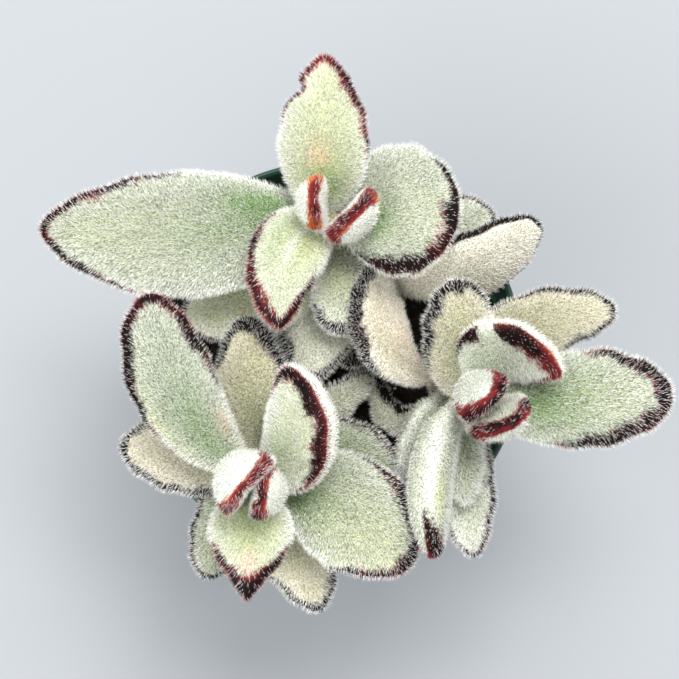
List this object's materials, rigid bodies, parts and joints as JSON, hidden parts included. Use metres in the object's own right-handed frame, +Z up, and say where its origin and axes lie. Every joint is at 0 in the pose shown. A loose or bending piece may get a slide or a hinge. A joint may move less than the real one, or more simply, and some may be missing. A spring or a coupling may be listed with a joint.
{
  "type": "potted daruma panda plant",
  "caption": "Succulent with heads of thick felted leaves, dark toothed margins and furry stems, rooted in soil in a round tapered nursery pot",
  "frame": {"origin": "middle of the pot's underside, on the surface it stands on", "axes": "+Z up, +X along the plant's widest spread, +Y toward the head of leaves farthest back"},
  "size_m": [0.1585, 0.1401, 0.15],
  "materials": {
    "pot": "moulded dark green polypropylene, fine satin",
    "soil": "crumbly dark potting soil",
    "stem": "soft stem under short white felt",
    "leaf_young": "yellow-green leaf under dense white felt, red-brown margin",
    "leaf_grown": "sage leaf under white felt, black-brown margin",
    "leaf_old": "beige leaf under white felt, salt-and-pepper margin"
  },
  "bodies": {
    "root": {"pot": "pot", "soil": "soil", "top_stem": "stem", "left_stem": "stem", "right_stem": "stem", "top_leaf_01": "leaf_young", "top_leaf_02": "leaf_young", "top_leaf_03": "leaf_young", "top_leaf_04": "leaf_young", "top_leaf_05": "leaf_grown", "top_leaf_06": "leaf_grown", "top_leaf_07": "leaf_grown", "top_leaf_08": "leaf_grown", "top_leaf_09": "leaf_old", "top_leaf_10": "leaf_grown", "top_leaf_11": "leaf_grown", "top_leaf_12": "leaf_old", "top_leaf_13": "leaf_old", "left_leaf_01": "leaf_young", "left_leaf_02": "leaf_young", "left_leaf_03": "leaf_young", "left_leaf_04": "leaf_young", "left_leaf_05": "leaf_grown", "left_leaf_06": "leaf_grown", "left_leaf_07": "leaf_old", "left_leaf_08": "leaf_old", "left_leaf_09": "leaf_grown", "left_leaf_10": "leaf_grown", "left_leaf_11": "leaf_old", "left_leaf_12": "leaf_old", "right_leaf_01": "leaf_young", "right_leaf_02": "leaf_young", "right_leaf_03": "leaf_young", "right_leaf_04": "leaf_grown", "right_leaf_05": "leaf_old", "right_leaf_06": "leaf_grown", "right_leaf_07": "leaf_old", "right_leaf_08": "leaf_old", "right_leaf_09": "leaf_grown", "right_leaf_10": "leaf_grown", "right_leaf_11": "leaf_grown", "right_leaf_12": "leaf_old"}
  },
  "joints": []
}
